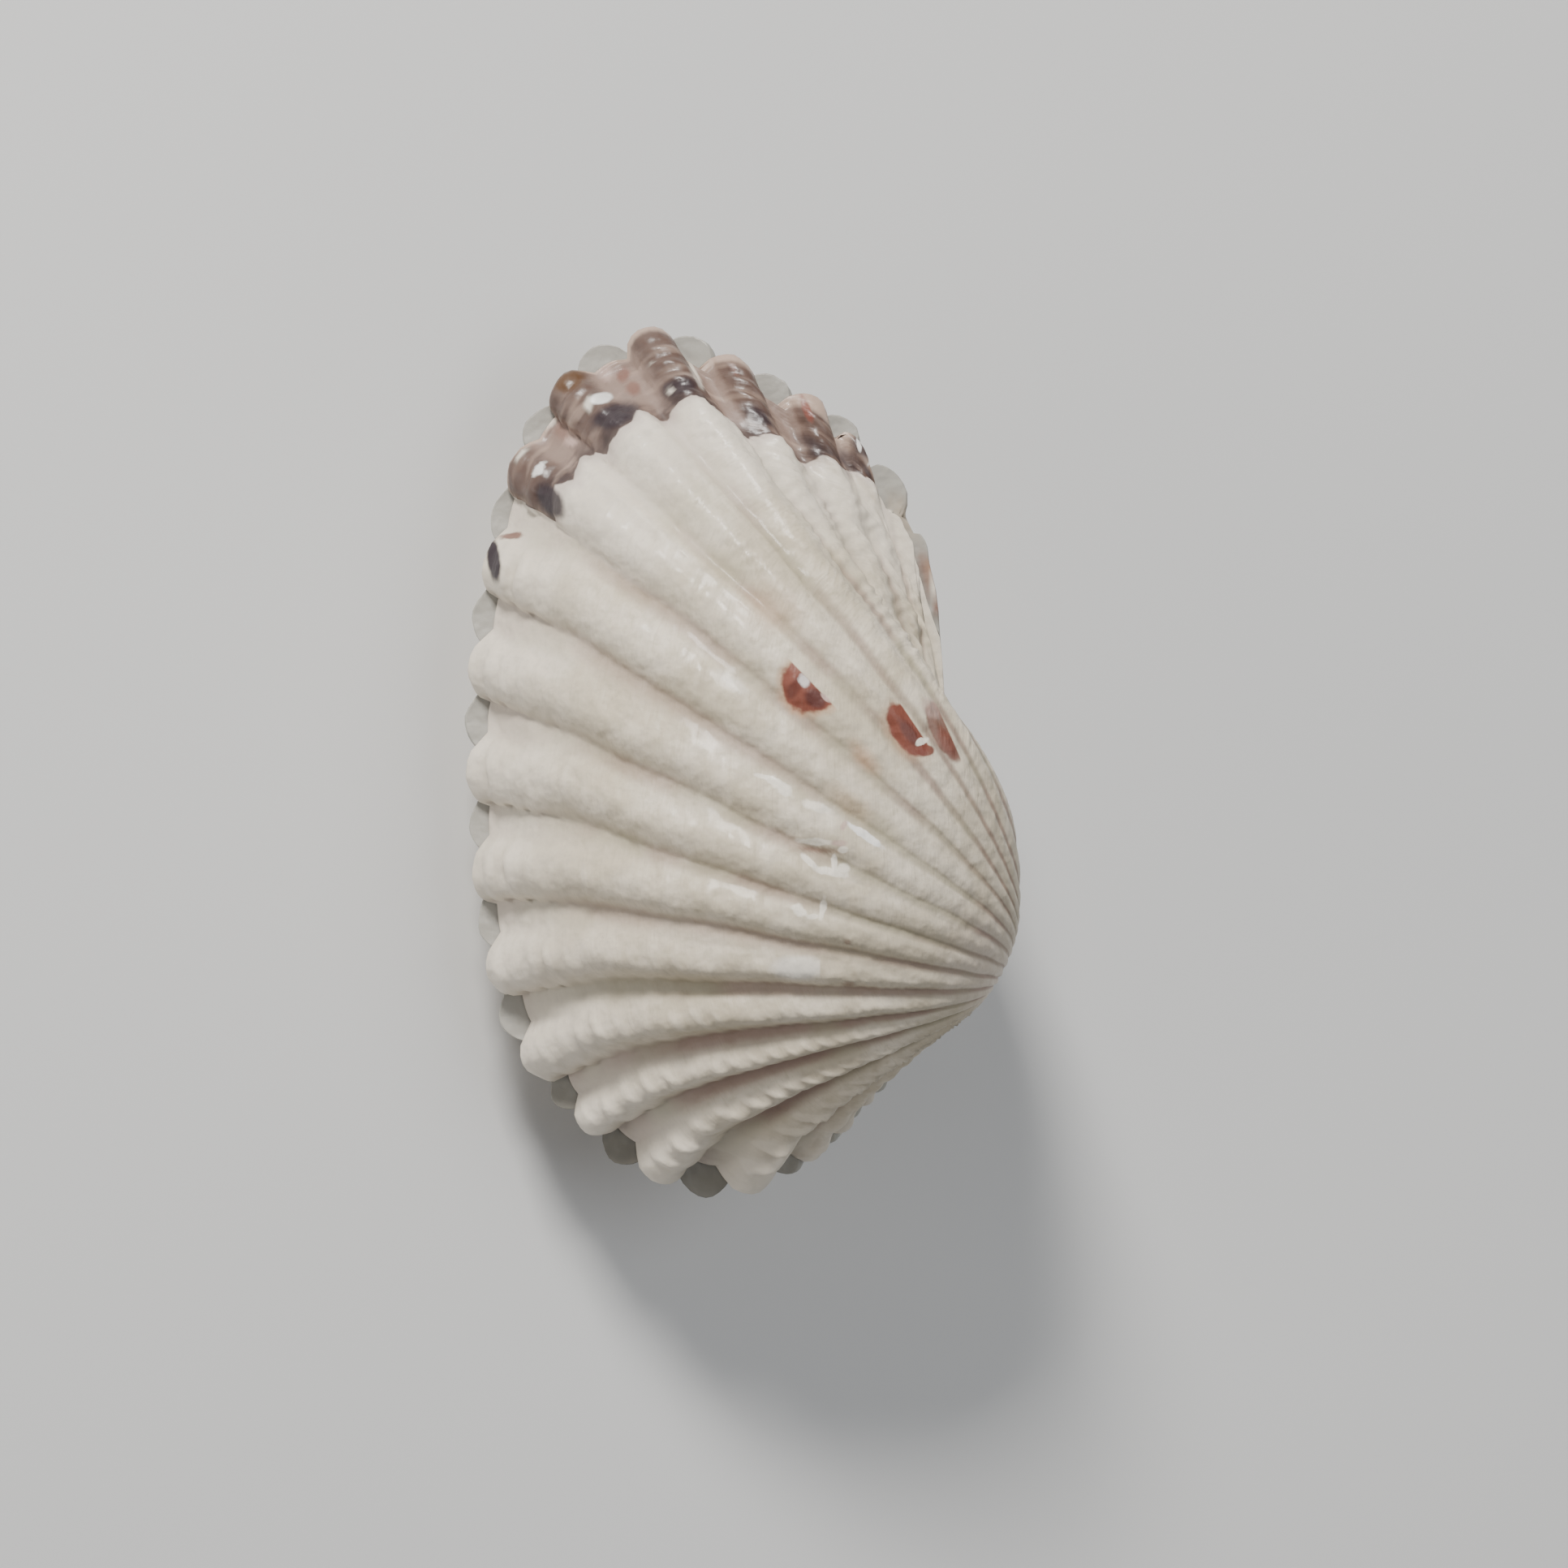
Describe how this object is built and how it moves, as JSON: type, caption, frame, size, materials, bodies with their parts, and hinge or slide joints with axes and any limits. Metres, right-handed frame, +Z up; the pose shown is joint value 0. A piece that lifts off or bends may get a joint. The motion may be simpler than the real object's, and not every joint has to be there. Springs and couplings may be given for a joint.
{
  "type": "cardita clam shell",
  "caption": "Closed broad-ribbed clam shell, a domed oval with interlocking scalloped margins and beaks curled over the hinge, lying on its lower valve.",
  "frame": {"origin": "middle of the bounding box's base, on the plane that the shell rests on", "axes": "+Z up, +Y towards the shell's back end, +X towards the hinge; the plane where the valves meet is tipped 23 degrees about Y, with the margin opposite the hinge down"},
  "size_m": [0.0198, 0.0318, 0.0156],
  "materials": {
    "shell": "satin",
    "horn": "matte"
  },
  "bodies": {
    "root": {"right_valve": "shell", "left_valve": "shell", "ligament": "horn"}
  },
  "joints": []
}
